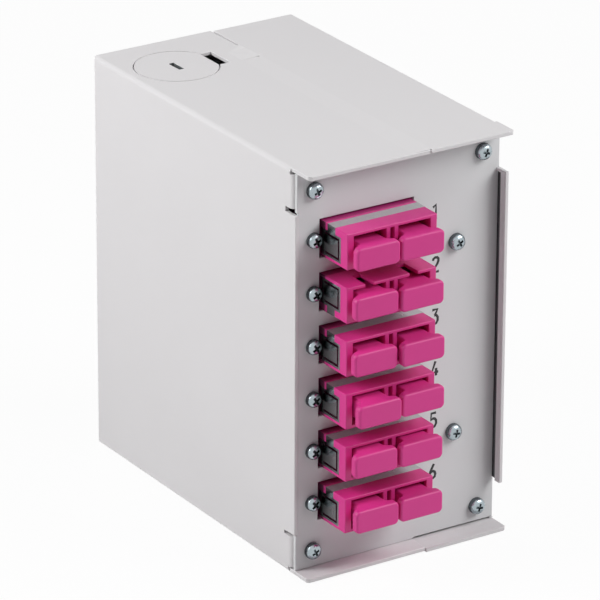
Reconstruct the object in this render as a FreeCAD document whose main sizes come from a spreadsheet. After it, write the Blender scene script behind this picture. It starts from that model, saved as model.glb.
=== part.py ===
import FreeCAD, Part
import math
import os
import re
import Sketcher

# Fibre distribution box for a 35 mm rail: two folded sheet shells, a front panel with six duplex
# adapters, their dust caps, a splice tray inside and a sprung rail clip on the back.
# Millimetres. +X is to the right seen from the front, +Y goes to the back and +Z is up. The origin
# is under the middle of the whole box, on the surface that it stands on.

# Driving dimensions
DIMENSIONS = {
    # case
    "case_width": 59.2,
    "case_height": 106.5,
    "case_depth": 93.5,
    "panel_face": 45,
    "sheet_metal": 1,
    "fold_radius": 1.2,
    "fold_relief": 1.4,
    "seam_place": 35,
    "seam_gap": 0.1,
    "shell_step": 0.2,
    "back_step": 0.9,
    "lip_depth": 5.7,
    "lip_step": 0.45,
    "lip_inset": 0.5,
    "lip_corner": 0.8,
    "return_width": 10,
    # strip of the right wall that stands forward of the panel
    "strip_depth": 3.65,
    "strip_low": 12.25,
    "strip_high": 95.15,
    # folded corner tabs and the welded corner angles that carry the panel
    "tab_length": 9.5,
    "tab_inset": 1.6,
    "relief_low": 12.3,
    "relief_high": 95.15,
    "relief_length": 3.2,
    "relief_width": 0.9,
    "angle_leg": 9,
    "angle_height": 8,
    # cable knock-out in the top
    "knockout_diameter": 21.6,
    "knockout_from_left": 13.8,
    "knockout_from_back": 17.6,
    "score_width": 0.35,
    "score_depth": 0.6,
    "pry_width": 1.4,
    "pry_length": 5.1,
    "tie_from_left": 25.1,
    "tie_width": 3.3,
    "tie_length": 8.9,
    # small round stops at the ends of the seam's open stretch
    "stop_first": 12.1,
    "stop_second": 22.7,
    "stop_diameter": 1,
    "slit_width": 0.3,
    # panel and its screws
    "panel_mid": 53.05,
    "panel_gap": 0.1,
    "panel_inset": 0.6,
    "panel_notch": 0.35,
    "corner_left": 5.35,
    "corner_right": 53.95,
    "corner_rise": 47.3,
    "bracket_screw_x": 46.55,
    "bracket_screw_rise": 25.3,
    "screw_hole": 3.4,
    "tapped_hole": 2.6,
    "screw_head": 4.6,
    "screw_head_height": 2,
    "screw_head_bevel": 0.7,
    "screw_shank": 2.5,
    "screw_length": 5,
    "countersink": 0.6,
    # duplex adapters
    "row_pitch": 13.8,
    "adapter_x": 20.55,
    "adapter_width": 25.7,
    "adapter_height": 9.2,
    "adapter_front": 11,
    "adapter_rear": 15,
    "cutout_width": 27,
    "cutout_height": 10,
    "flange_length": 36,
    "flange_sheet": 2.2,
    "adapter_screw_spacing": 30.6,
    "adapter_screw_hole": 2.3,
    "adapter_screw_head": 3.8,
    "adapter_screw_shank": 1.9,
    "adapter_screw_length": 4,
    "flange_hole": 2,
    "port_width": 9.1,
    "port_height": 7.5,
    "port_spacing": 12.7,
    "divider_gap": 1,
    "divider_depth": 7,
    "key_width": 2.3,
    "key_depth": 6,
    "bulkhead": 1.2,
    "window_width": 8.6,
    "window_height": 5,
    # sleeve holders inside the ports
    "sleeve_diameter": 4.6,
    "sleeve_bore": 2.6,
    "sleeve_front": 5.2,
    "sleeve_rear": 9.6,
    "collar_width": 8.8,
    "collar_height": 7.2,
    "collar_depth": 1.4,
    "arm_place": 3.7,
    "arm_width": 0.8,
    "arm_height": 2.6,
    # spring clip round each adapter
    "clip_sheet": 0.35,
    "strap_near": 2.4,
    "strap_far": 5.8,
    "cheek_root": 0.8,
    "cheek_far": 8.2,
    "cheek_rim": 0.75,
    "cheek_top": 2.8,
    "tongue_near": 1.2,
    "tongue_far": 7.5,
    "tongue_height": 5.5,
    "tongue_drop": 0.55,
    "tongue_slot": 0.6,
    "tongue_pocket": 0.9,
    # dust caps
    "cap_width": 12.4,
    "cap_high": 2,
    "cap_low": 4,
    "cap_front": 15,
    "cap_thick": 2.3,
    "cap_corner": 1.3,
    "cap_flare": 1.2,
    "plug_width": 8.3,
    "plug_low": 3.4,
    "plug_end": 6.4,
    # splice store
    "bracket_x": 42.3,
    "bracket_foot": 9,
    "bracket_length": 77,
    "bracket_half_height": 33,
    "tray_start": 9,
    "tray_length": 66,
    "tray_half_height": 31,
    "tray_floor": 1.5,
    "tray_depth": 9,
    "tray_wall": 1.2,
    "tray_corner": 14,
    "tray_exit": 14,
    "tray_screw_rise": 24,
    "comb_length": 22,
    "comb_half_height": 15,
    "comb_depth": 5,
    "comb_slots": 6,
    "comb_pitch": 4.6,
    "comb_slot": 2.6,
    "comb_floor": 1.5,
    # rail clip on the back
    "rail_half": 17.5,
    "rail_play": 0.3,
    "rail_slot": 1.3,
    "hook_catch": 2.7,
    "hook_depth": 4.2,
    "clip_half_width": 15,
    "clip_base": 7.5,
    "clip_top": 27,
    "clip_low": 27,
    "channel_floor": 1.5,
    "channel_neck": 1.7,
    "channel_half": 8.1,
    "neck_half": 5.5,
    "channel_top": 9,
    "slide_play": 0.3,
    "latch_low": 36,
    "window_top": 13,
    "window_low": 22.3,
    "window_half": 3,
    "post_low": 22,
    "post_high": 20.5,
    "post_half": 2.5,
    "spring_half": 2.4,
    "spring_bars": 5,
    "spring_wire": 0.5,
    "clip_screw_x": 10.5,
    "clip_screw_rise": 4,
    "clip_screw_sink": 3,
    "clip_screw_sink_diameter": 6,
}
ROWS = 6
HOLE_SIDES = 8
HEAD_SIDES = 14
UPSIDE_DOWN_ROW = 2
# The caps sit loosely: how far each stands to the right, out of its port and up, from the top row down
LEFT_CAP_PLACES = [(0, 0, 0), (0, -0.4, 0.8), (0, -0.6, 0.1), (0, 1.5, 1.05), (0, 0, 1.25), (0, 0.8, 0.75)]
RIGHT_CAP_PLACES = [(0, 0, 0), (0.1, 0, 0.6), (0.25, 0.5, 0.25), (0.25, 0.7, 0.95), (0.25, 0.3, 1.3),
                    (0.2, 0.7, 0.7)]

LEFT = "(-case_width / 2)"
RIGHT = "(case_width / 2)"
FACE = "(-panel_face)"
FRONT = "(sheet_metal - panel_face)"
BACK = "(case_depth - panel_face)"
SEAM = "(seam_place - case_width / 2)"

doc = FreeCAD.newDocument("fibre_box")
sheet = doc.addObject("Spreadsheet::Sheet", "dims")
for line, (alias, value) in enumerate(DIMENSIONS.items(), start=1):
    sheet.set(f"A{line}", alias)
    sheet.set(f"B{line}", str(value))
    sheet.setAlias(f"B{line}", alias)
doc.recompute()

nodes = []
# A plane's normal runs with its axis or against it
PLANE_SIGN = {"XY": 1, "XZ": -1, "YZ": 1}


def over_sheet(text):
    """Turns the names of dimensions into references to the sheet's cells."""
    def cell(word):
        return "dims." + word.group() if word.group() in DIMENSIONS else word.group()
    return re.sub(r"[a-z_]+", cell, str(text))


def number(text):
    return float(sheet.evalExpression(over_sheet(text)))


def new_body(label, is_node=True):
    body = doc.addObject("PartDesign::Body", label)
    body.Label = label
    if is_node:
        nodes.append(body)
    return body


def place(body, x, y, z):
    for axis, text in zip("xyz", (x, y, z)):
        body.setExpression("Placement.Base." + axis, over_sheet(text))


def rectangle(left, right, low, high):
    return [(left, low), (right, low), (right, high), (left, high)]


def rounded(left, right, low, high, radius):
    return [(*corner, radius) for corner in rectangle(left, right, low, high)]


def flats(u, v, across, sides):
    """Regular outline. Small holes and fasteners have flats in place of a round, so facets stay few."""
    corners = []
    for i in range(sides):
        angle = math.tau * (i + 0.5) / sides
        reach = 0.5 / math.cos(math.pi / sides)
        corners.append((f"{u} + {across} * {reach * math.cos(angle):.6f}",
                        f"{v} + {across} * {reach * math.sin(angle):.6f}"))
    return corners


def sketch_on(body, plane, level):
    """A sketch on the body's own plane, moved to a level along the plane's axis."""
    sketch = body.newObject("Sketcher::SketchObject", body.Label + "_sketch")
    origin = next(item for item in body.Origin.OriginFeatures if item.Role == plane + "_Plane")
    sketch.AttachmentSupport = [(origin, "")]
    sketch.MapMode = "FlatFace"
    sketch.setExpression("AttachmentOffset.Base.z", over_sheet(f"{PLANE_SIGN[plane]} * ({level})"))
    return sketch


def lock(sketch, kind, geometry, point, text):
    """Ties one coordinate of a point, or a diameter, to an expression."""
    value = number(text)
    if point is None:
        index = sketch.addConstraint(Sketcher.Constraint(kind, geometry, value))
    else:
        index = sketch.addConstraint(Sketcher.Constraint(kind, geometry, point, value))
    sketch.setExpression(f"Constraints[{index}]", over_sheet(text))


def sign(value):
    return (value > 1e-6) - (value < -1e-6)


def tangent_points(corners):
    """Outline points in order. A corner (u, v, radius), square to the axes, gives the two ends of
    its arc, and the first of them carries the radius and the corner itself."""
    points = []
    for i, corner in enumerate(corners):
        if len(corner) == 2:
            points.append((*corner, None, None))
            continue
        u, v, radius = corner
        for neighbour, arc in [(corners[i - 1], radius), (corners[(i + 1) % len(corners)], None)]:
            across = sign(number(neighbour[0]) - number(u))
            along = sign(number(neighbour[1]) - number(v))
            points.append((f"({u}) + {across} * ({radius})", f"({v}) + {along} * ({radius})", arc, corner))
    return points


def draw_polygon(sketch, corners):
    """Closed outline of straight sides, with an arc at each corner that states a radius."""
    outline = tangent_points(corners)
    count = len(outline)
    first = sketch.GeometryCount
    places = [FreeCAD.Vector(number(u), number(v), 0) for u, v, radius, corner in outline]
    ends = []
    for i, (u, v, radius, corner) in enumerate(outline):
        here, there = places[i], places[(i + 1) % count]
        if radius is None:
            sketch.addGeometry(Part.LineSegment(here, there), False)
            ends.append((1, 2))
            continue
        peak = FreeCAD.Vector(number(corner[0]), number(corner[1]), 0)
        centre = here + there - peak
        middle = centre + (peak - centre).normalize() * number(radius)
        sketch.addGeometry(Part.Arc(here, middle, there), False)
        counter_clockwise = (here - centre).cross(there - centre).z > 0
        ends.append((1, 2) if counter_clockwise else (2, 1))
    for i, (u, v, radius, corner) in enumerate(outline):
        after = (i + 1) % count
        joint = (first + i, ends[i][1], first + after, ends[after][0])
        sketch.addConstraint(Sketcher.Constraint("Coincident", *joint))
        if radius is not None:
            lock(sketch, "Radius", first + i, None, radius)
        lock(sketch, "DistanceX", first + i, ends[i][0], u)
        lock(sketch, "DistanceY", first + i, ends[i][0], v)


def draw_circle(sketch, u, v, diameter):
    index = sketch.GeometryCount
    centre = FreeCAD.Vector(number(u), number(v), 0)
    sketch.addGeometry(Part.Circle(centre, FreeCAD.Vector(0, 0, 1), number(diameter) / 2), False)
    lock(sketch, "DistanceX", index, 3, u)
    lock(sketch, "DistanceY", index, 3, v)
    lock(sketch, "Diameter", index, None, diameter)


def extrude(kind, body, plane, shapes, low, high):
    """Pads or pockets outlines from one level to another along the plane's axis."""
    before = body.Tip.Shape.Volume if body.Tip else 0
    sketch = sketch_on(body, plane, low)
    for shape in shapes:
        if isinstance(shape, tuple):
            draw_circle(sketch, *shape)
        else:
            draw_polygon(sketch, shape)
    feature = body.newObject("PartDesign::" + kind, f"{body.Label}_{kind.lower()}")
    feature.Profile = sketch
    feature.setExpression("Length", over_sheet(f"({high}) - ({low})"))
    feature.Reversed = (kind == "Pocket") == (PLANE_SIGN[plane] > 0)
    doc.recompute()
    change = feature.Shape.Volume - before
    if (change > 0) != (kind == "Pad") or abs(change) < 1e-6:
        raise ValueError(f"{feature.Name} changed the volume of {body.Label} by {change}")
    return feature


def add(body, plane, shapes, low, high):
    return extrude("Pad", body, plane, shapes, low, high)


def cut(body, plane, shapes, low, high):
    return extrude("Pocket", body, plane, shapes, low, high)


def repeat(body, feature, axis, length, count):
    """Repeats a feature along one axis of the body, count times over the length."""
    pattern = body.newObject("PartDesign::LinearPattern", body.Label + "_pattern")
    pattern.Originals = [feature]
    origin = next(item for item in body.Origin.OriginFeatures if item.Role == axis + "_Axis")
    pattern.Direction = (origin, [""])
    pattern.setExpression("Length", over_sheet(length))
    pattern.Occurrences = count
    body.Tip = pattern
    doc.recompute()


def edges_at(**place_of):
    """Chooses the edges whose ends both lie at the given coordinates."""
    wanted = {axis: number(text) for axis, text in place_of.items()}

    def chosen(edge):
        return all(abs(getattr(end.Point, axis) - value) < 1e-4
                   for end in edge.Vertexes for axis, value in wanted.items())
    return chosen


def trim_edges(kind, body, measure, size, choices):
    """Rounds or bevels the chosen edges, which must leave the body inside its old bounds."""
    base = body.Tip
    names = [f"Edge{i}" for i, edge in enumerate(base.Shape.Edges, start=1)
             if any(chosen(edge) for chosen in choices)]
    feature = body.newObject("PartDesign::" + kind, f"{body.Label}_{kind.lower()}")
    feature.Base = (base, names)
    feature.setExpression(measure, over_sheet(size))
    doc.recompute()
    growth = feature.Shape.BoundBox.DiagonalLength - base.Shape.BoundBox.DiagonalLength
    if not feature.isValid() or growth > 1e-4:
        raise ValueError(f"{feature.Name} on {len(names)} edges went wrong")


def round_edges(body, radius, choices):
    trim_edges("Fillet", body, "Radius", radius, choices)


def build_left_shell():
    """Left wall, back wall and return flange, with 60 % of the top and the bottom."""
    shell = new_body("left_shell")
    inside = f"({LEFT} + sheet_metal)"
    back_inside = f"({BACK} - sheet_metal)"
    turn = f"({RIGHT} - sheet_metal - panel_gap)"
    turn_inside = f"({turn} - sheet_metal)"
    turn_end = f"({BACK} - return_width)"
    low = "shell_step"
    high = "(case_height - shell_step)"
    flange_low = f"({low} + sheet_metal)"
    flange_high = f"({high} - sheet_metal)"

    strip = [(LEFT, FRONT), (inside, FRONT), (inside, back_inside), (turn_inside, back_inside),
             (turn_inside, turn_end), (turn, turn_end), (turn, BACK), (LEFT, BACK)]
    add(shell, "XY", [strip], low, high)
    flange = rectangle(LEFT, SEAM, FRONT, BACK)
    add(shell, "XY", [flange], flange_high, high)
    add(shell, "XY", [flange], low, flange_low)

    round_edges(shell, "fold_radius - sheet_metal",
                [edges_at(x=inside, z=flange_high), edges_at(x=inside, z=flange_low),
                 edges_at(x=inside, y=back_inside), edges_at(x=turn_inside, y=back_inside)])
    round_edges(shell, "fold_radius",
                [edges_at(x=LEFT, z=high), edges_at(x=LEFT, z=low),
                 edges_at(x=LEFT, y=BACK), edges_at(x=turn, y=BACK)])

    # The back wall ends under the flanges, so its edges are open joints
    joint = "panel_gap"
    corner = f"({LEFT} + fold_radius)"
    for near, far, flange_edge in [(f"{flange_high} - {joint}", "case_height + 1", flange_high),
                                   (f"{flange_low} + {joint}", "-1", flange_low)]:
        open_edge = [(corner, near), ("case_width", near), ("case_width", far), (SEAM, far),
                     (SEAM, flange_edge), (corner, flange_edge)]
        cut(shell, "XZ", [open_edge], f"{back_inside} - return_width", f"{BACK} + 1")
    for start, stop in [(f"{flange_high} - fold_radius", "case_height + 1"),
                        ("-1", f"{flange_low} + fold_radius")]:
        cut(shell, "XZ", [rectangle(f"{turn_inside} - panel_gap", "case_width", start, stop)],
            f"{back_inside} - return_width", f"{BACK} + 1")

    # Corner tabs folded in behind the panel, each set free by a relief slot and a corner relief
    tab_back = f"({FRONT} + sheet_metal)"
    for side, end, relief in [("1", high, "relief_high"), ("-1", low, "relief_low")]:
        outer = f"({end} - {side} * tab_inset)"
        inner = f"({relief} + {side} * relief_width / 2)"
        slot_end = f"({relief} - {side} * relief_width / 2)"
        cut(shell, "YZ", [rectangle(f"{FRONT} - 1", f"{FRONT} + relief_length", inner, slot_end)],
            f"{LEFT} - 1", f"{inside} + 1")
        cut(shell, "YZ", [rectangle(f"{FRONT} - 1", f"{FRONT} + fold_relief", outer, f"{end} + {side}")],
            f"{LEFT} - 1", SEAM)
        levels = sorted([outer, inner], key=number)
        cut(shell, "YZ", [rectangle(f"{FRONT} - 1", f"{FRONT} + fold_radius", *levels)],
            f"{LEFT} - 1", f"{inside} + 1")
        tab = [(LEFT, FRONT, "fold_radius"), (f"{LEFT} + tab_length", FRONT),
               (f"{LEFT} + tab_length", tab_back), (inside, tab_back, "fold_radius - sheet_metal"),
               (inside, f"{FRONT} + fold_radius + 0.1"), (LEFT, f"{FRONT} + fold_radius + 0.1")]
        add(shell, "XY", [tab], *levels)

    # Flat lips that overhang the panel at the top and the bottom
    lip_front = f"({FACE} - lip_depth)"
    lip_left = f"({LEFT} + lip_inset)"
    lip = [(lip_left, f"{lip_front} + lip_corner"), (f"{lip_left} + lip_corner", lip_front),
           (SEAM, lip_front), (SEAM, f"{FRONT} + fold_relief"), (lip_left, f"{FRONT} + fold_relief")]
    add(shell, "XY", [lip], flange_high, high)
    add(shell, "XY", [lip], low, flange_low)

    # Cable knock-out in the top: a scored ring, a pry slot and the tie hole that cuts its side
    x = f"({LEFT} + knockout_from_left)"
    y = f"({BACK} - knockout_from_back)"
    ring = [(x, y, "knockout_diameter + score_width"), (x, y, "knockout_diameter - score_width")]
    cut(shell, "XY", ring, f"{high} - score_depth", f"{high} + 1")
    pry = rectangle(f"{x} - pry_width / 2", f"{x} + pry_width / 2",
                    f"{y} - pry_length / 2", f"{y} + pry_length / 2")
    tie = rectangle(f"{LEFT} + tie_from_left - tie_width / 2", f"{LEFT} + tie_from_left + tie_width / 2",
                    f"{y} - tie_length / 2", f"{y} + tie_length / 2")
    cut(shell, "XY", [pry, tie], f"{flange_high} - 1", f"{high} + 1")

    # The seam stands open behind its first round stop
    first_stop = f"({BACK} - stop_first)"
    cut(shell, "XY", [rectangle(f"{SEAM} - slit_width", f"{SEAM} + 1", first_stop, f"{BACK} + 1")],
        f"{flange_high} - panel_gap", f"{high} + 1")
    stops = [(SEAM, first_stop, "stop_diameter"), (SEAM, f"{BACK} - stop_second", "stop_diameter")]
    cut(shell, "XY", stops, f"{flange_high} - panel_gap", f"{high} + 1")

    # Tapped holes for the panel, for the right shell and for the rail clip
    panel_holes = [flats(f"{LEFT} + corner_left", f"panel_mid + {side} * corner_rise",
                         "tapped_hole", HOLE_SIDES) for side in ("1", "-1")]
    cut(shell, "XZ", panel_holes, f"{FRONT} - 1", f"{tab_back} + 1")
    shell_holes = [flats(f"{BACK} - return_width / 2", f"panel_mid + {side} * bracket_screw_rise",
                         "tapped_hole", HOLE_SIDES) for side in ("1", "-1")]
    cut(shell, "YZ", shell_holes, f"{turn_inside} - 1", f"{turn} + 1")
    rail_holes = [flats(f"{side} * clip_screw_x", "panel_mid + clip_screw_rise", "tapped_hole", HOLE_SIDES)
                  for side in ("1", "-1")]
    cut(shell, "XZ", rail_holes, f"{back_inside} - 1", f"{BACK} + 1")


def rim_of_hole(edge):
    """Chooses the sides of the screw holes in the right wall's outer face."""
    off_centre = edge.CenterOfMass.y - number(f"{BACK} - return_width / 2")
    return edges_at(x=RIGHT)(edge) and abs(off_centre) < number("screw_hole")


def build_right_shell():
    """Right wall with its forward strip, and 40 % of the top and the bottom."""
    shell = new_body("right_shell")
    inside = f"({RIGHT} - sheet_metal)"
    edge = f"({SEAM} + seam_gap)"
    high = "case_height"
    flange_high = "(case_height - sheet_metal)"
    back = f"({BACK} - back_step)"
    add(shell, "XY", [rectangle(inside, RIGHT, FACE, back)], "0", high)
    flange = rectangle(edge, RIGHT, FACE, back)
    add(shell, "XY", [flange], flange_high, high)
    add(shell, "XY", [flange], "0", "sheet_metal")
    round_edges(shell, "fold_radius - sheet_metal",
                [edges_at(x=inside, z=flange_high), edges_at(x=inside, z="sheet_metal")])
    round_edges(shell, "fold_radius", [edges_at(x=RIGHT, z=high), edges_at(x=RIGHT, z="0")])

    # The folds stop behind the panel, so that the lips run on as flat sheet
    fold_end = f"({FACE} + fold_relief)"
    for start, stop in [(f"{high} - fold_radius", f"{high} + 1"), ("-1", "fold_radius")]:
        cut(shell, "YZ", [rectangle(f"{FACE} - 1", fold_end, start, stop)], edge + " - 1", f"{RIGHT} + 1")
    lip_front = f"({FACE} - lip_depth - lip_step)"
    lip = [(edge, lip_front), (f"{RIGHT} - lip_corner", lip_front), (RIGHT, f"{lip_front} + lip_corner"),
           (RIGHT, fold_end), (edge, fold_end)]
    add(shell, "XY", [lip], flange_high, high)
    add(shell, "XY", [lip], "0", "sheet_metal")
    strip = rectangle(f"{FACE} - strip_depth", f"{FACE} + 1", "strip_low", "strip_high")
    add(shell, "YZ", [strip], inside, RIGHT)

    # Angles welded into the front corners carry the panel's right-hand screws
    tab_front = f"({FRONT} + panel_gap / 2)"
    angle = [(f"{inside} - angle_leg", tab_front), (inside, tab_front), (inside, f"{tab_front} + angle_leg"),
             (f"{inside} - sheet_metal", f"{tab_front} + angle_leg"),
             (f"{inside} - sheet_metal", f"{tab_front} + sheet_metal"),
             (f"{inside} - angle_leg", f"{tab_front} + sheet_metal")]
    for side in ("1", "-1"):
        middle = f"(panel_mid + {side} * corner_rise)"
        add(shell, "XY", [angle], f"{middle} - angle_height / 2", f"{middle} + angle_height / 2")
    panel_holes = [flats(f"{LEFT} + corner_right", f"panel_mid + {side} * corner_rise",
                         "tapped_hole", HOLE_SIDES) for side in ("1", "-1")]
    cut(shell, "XZ", panel_holes, f"{tab_front} - 1", f"{tab_front} + 2")
    shell_holes = [flats(f"{BACK} - return_width / 2", f"panel_mid + {side} * bracket_screw_rise",
                         "screw_hole", HOLE_SIDES) for side in ("1", "-1")]
    cut(shell, "YZ", shell_holes, f"{inside} - 1", f"{RIGHT} + 1")
    trim_edges("Chamfer", shell, "Size", "countersink", [rim_of_hole])


def build_front_panel():
    """Flat panel with six adapter cut-outs and the holes for all of its screws. Its lower edge stands
    higher over the right shell's flange."""
    panel = new_body("front_panel")
    left = f"({LEFT} + panel_inset)"
    right = f"({RIGHT} - sheet_metal - panel_gap)"
    low = "(shell_step + sheet_metal + panel_gap / 2)"
    high = "(case_height - shell_step - sheet_metal - panel_gap)"
    outline = [(left, low), (SEAM, low), (SEAM, f"{low} + panel_notch"), (right, f"{low} + panel_notch"),
               (right, high), (left, high)]
    add(panel, "XZ", [outline], FACE, FRONT)
    middle = f"({LEFT} + adapter_x)"
    row = f"(panel_mid - {(ROWS - 1) / 2} * row_pitch)"
    opening = rectangle(f"{middle} - cutout_width / 2", f"{middle} + cutout_width / 2",
                        f"{row} - cutout_height / 2", f"{row} + cutout_height / 2")
    holes = [flats(f"{middle} + {side} * adapter_screw_spacing / 2", row, "adapter_screw_hole", HOLE_SIDES)
             for side in ("1", "-1")]
    lowest = cut(panel, "XZ", [opening, *holes], f"{FACE} - 1", f"{FRONT} + 1")
    repeat(panel, lowest, "Z", f"{ROWS - 1} * row_pitch", ROWS)
    holes = [flats(x, z, "screw_hole", HOLE_SIDES) for x, z in panel_screw_places()]
    cut(panel, "XZ", holes, f"{FACE} - 1", f"{FRONT} + 1")


def panel_screw_places():
    """The four corner screws, then the two that hold the splice bracket."""
    corners = [(f"{LEFT} + {x}", f"panel_mid + {side} * corner_rise")
               for x in ("corner_left", "corner_right") for side in ("1", "-1")]
    inner = [(f"{LEFT} + bracket_screw_x", f"panel_mid + {side} * bracket_screw_rise")
             for side in ("1", "-1")]
    return corners + inner


def row_height(row):
    return f"(panel_mid + {(ROWS + 1) / 2 - row} * row_pitch)"


def turn_over(body, row):
    """One adapter is fitted upside-down, turned about the axis of its ports."""
    if row == UPSIDE_DOWN_ROW:
        body.Placement.Rotation = FreeCAD.Rotation(FreeCAD.Vector(0, 1, 0), 180)


def both_ports(width, low, high):
    """The same outline at the left and the right port."""
    middles = [f"{side} * port_spacing / 2" for side in ("-1", "1")]
    return [rectangle(f"{x} - {width} / 2", f"{x} + {width} / 2", low, high) for x in middles]


def build_adapter(row):
    """One duplex adapter: front half with flange, rear half, spring clip and sleeve holders.
    Each is drawn about the middle of its cut-out, on the panel's front face."""
    half_width = "adapter_width / 2"
    half_height = "adapter_height / 2"
    frame = rectangle(f"-{half_width}", half_width, f"-{half_height}", half_height)
    ports = both_ports("port_width", "-port_height / 2", "port_height / 2")
    keys = both_ports("key_width", f"-{half_height} - 1", "-port_height / 2 + 0.1")
    flange_end = "(sheet_metal + flange_sheet)"
    centre = (f"{LEFT} + adapter_x", FACE, row_height(row))

    front = new_body(f"adapter_front_{row}")
    add(front, "XZ", [frame], "-adapter_front", flange_end)
    flange = rectangle("-flange_length / 2", "flange_length / 2", f"-{half_height}", half_height)
    add(front, "XZ", [flange], "sheet_metal", flange_end)
    cut(front, "XZ", ports, "-adapter_front - 1", f"{flange_end} + 1")
    gap = rectangle("-divider_gap / 2", "divider_gap / 2", "-port_height / 2", "port_height / 2")
    cut(front, "XZ", [gap], "-adapter_front - 1", "-adapter_front + divider_depth")
    cut(front, "XZ", keys, "-adapter_front - 1", "-adapter_front + key_depth")

    # The spring clip lies flush in beds, and its tongues stand over pockets
    bed = f"({half_width} - clip_sheet)"
    cheek_low = f"(-{half_height} + cheek_rim)"
    strap_bed = rectangle("-adapter_width", "adapter_width", f"{half_height} - clip_sheet", "adapter_height")
    cut(front, "XZ", [strap_bed], "-strap_far", "-strap_near")
    for low, high, start, stop in [(cheek_low, "cheek_top", "-cheek_far", "cheek_root"),
                                   ("cheek_top", f"{half_height} - clip_sheet", "-strap_far", "-strap_near")]:
        side_beds = [rectangle(f"{side} * {bed}", f"{side} * adapter_width", low, high)
                     for side in ("-1", "1")]
        cut(front, "XZ", side_beds, start, stop)
    tongue_low = "(-tongue_drop - tongue_height / 2)"
    tongue_high = "(tongue_height / 2 - tongue_drop)"
    pockets = [rectangle(f"{side} * ({bed} - tongue_pocket)", f"{side} * {half_width}",
                         tongue_low, tongue_high) for side in ("-1", "1")]
    cut(front, "XZ", pockets, "-tongue_far", "-tongue_near")

    holes = [flats(f"{side} * adapter_screw_spacing / 2", "0", "flange_hole", HOLE_SIDES)
             for side in ("-1", "1")]
    cut(front, "XZ", holes, "sheet_metal - 1", f"{flange_end} + 1")

    rear = new_body(f"adapter_rear_{row}")
    add(rear, "XZ", [frame], flange_end, "adapter_rear")
    cut(rear, "XZ", ports, f"{flange_end} + bulkhead", "adapter_rear + 1")
    cut(rear, "XZ", both_ports("window_width", "-window_height / 2", "window_height / 2"),
        f"{flange_end} - 1", f"{flange_end} + bulkhead + 1")
    cut(rear, "XZ", keys, "adapter_rear - key_depth", "adapter_rear + 1")

    clip = new_body(f"adapter_clip_{row}")
    bow = [(f"-{half_width}", cheek_low), (f"-{bed}", cheek_low), (f"-{bed}", f"{half_height} - clip_sheet"),
           (bed, f"{half_height} - clip_sheet"), (bed, cheek_low), (half_width, cheek_low),
           (half_width, half_height), (f"-{half_width}", half_height)]
    add(clip, "XZ", [bow], "-cheek_far", "cheek_root")
    for start, stop in [("-cheek_far - 1", "-strap_far"), ("-strap_near", "cheek_root + 1")]:
        over = rectangle("-adapter_width", "adapter_width", "cheek_top", "adapter_height")
        cut(clip, "XZ", [over], start, stop)
    tongue = [("-tongue_far", tongue_low), ("-tongue_near", tongue_low),
              ("-tongue_near", f"{tongue_low} + tongue_slot"),
              ("-tongue_far + tongue_slot", f"{tongue_low} + tongue_slot"),
              ("-tongue_far + tongue_slot", f"{tongue_high} - tongue_slot"),
              ("-tongue_near", f"{tongue_high} - tongue_slot"),
              ("-tongue_near", tongue_high), ("-tongue_far", tongue_high)]
    cut(clip, "YZ", [tongue], f"-{half_width} - 1", f"{half_width} + 1")

    for body in (front, rear, clip):
        turn_over(body, row)
        place(body, *centre)

    holders = []
    for side, name in [("-1", "left"), ("1", "right")]:
        holder = build_sleeve_holder(f"sleeve_holder_{row}_{name}")
        place(holder, f"{LEFT} + adapter_x + {side} * port_spacing / 2", FACE, row_height(row))
        holders.append(holder)
    gather(f"sleeve_holders_{row}", holders)


def build_sleeve_holder(label):
    """Sleeve with a collar against the bulkhead and a pair of latch arms to the front and the rear."""
    holder = new_body(label, is_node=False)
    seat = "(sheet_metal + flange_sheet)"
    collar = rectangle("-collar_width / 2", "collar_width / 2", "-collar_height / 2", "collar_height / 2")
    add(holder, "XZ", [collar], f"{seat} - collar_depth", seat)
    arms = [rectangle(f"{side} * arm_place - arm_width / 2", f"{side} * arm_place + arm_width / 2",
                      "-arm_height / 2", "arm_height / 2") for side in ("-1", "1")]
    add(holder, "XZ", arms, "-sleeve_front + 0.4", "sleeve_rear - 0.4")
    add(holder, "XZ", [flats("0", "0", "sleeve_diameter", HOLE_SIDES)], "-sleeve_front", "sleeve_rear")
    cut(holder, "XZ", [flats("0", "0", "sleeve_bore", HOLE_SIDES)], "-sleeve_front - 1", "sleeve_rear + 1")
    return holder


def gather(label, bodies):
    """A group of separate like solids under one name."""
    group = doc.addObject("Part::Compound", label)
    group.Label = label
    group.Links = bodies
    nodes.append(group)


def build_dust_cap(row, side, name, shift, seat, lift):
    """Push-in cap: a rounded grip plate on a flared plug, drawn about the middle of its port."""
    cap = new_body(f"dust_cap_{row}_{name}")
    plate = rounded("-cap_width / 2", "cap_width / 2", "-cap_low", "cap_high", "cap_corner")
    plate_back = "(cap_thick - cap_front)"
    add(cap, "XZ", [plate], "-cap_front", plate_back)
    plug = rectangle("-plug_width / 2", "plug_width / 2", "-plug_low", "cap_high")
    add(cap, "XZ", [plug], plate_back, "-plug_end")
    trim_edges("Chamfer", cap, "Size", "cap_flare",
               [edges_at(x=f"{turn} * plug_width / 2", y=plate_back) for turn in ("-1", "1")])
    place(cap, f"{LEFT} + adapter_x + {side} * port_spacing / 2 + {shift}", f"{FACE} - ({seat})",
          f"{row_height(row)} + {lift}")


def build_screw(label, head, shank, length):
    """Pan-head screw along +Y, with its seat at the origin."""
    screw = new_body(label, is_node=False)
    add(screw, "XZ", [flats("0", "0", head, HEAD_SIDES)], "-screw_head_height", "0")
    trim_edges("Chamfer", screw, "Size", "screw_head_bevel", [edges_at(y="-screw_head_height")])
    add(screw, "XZ", [flats("0", "0", shank, HOLE_SIDES)], "0", length)
    return screw


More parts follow.
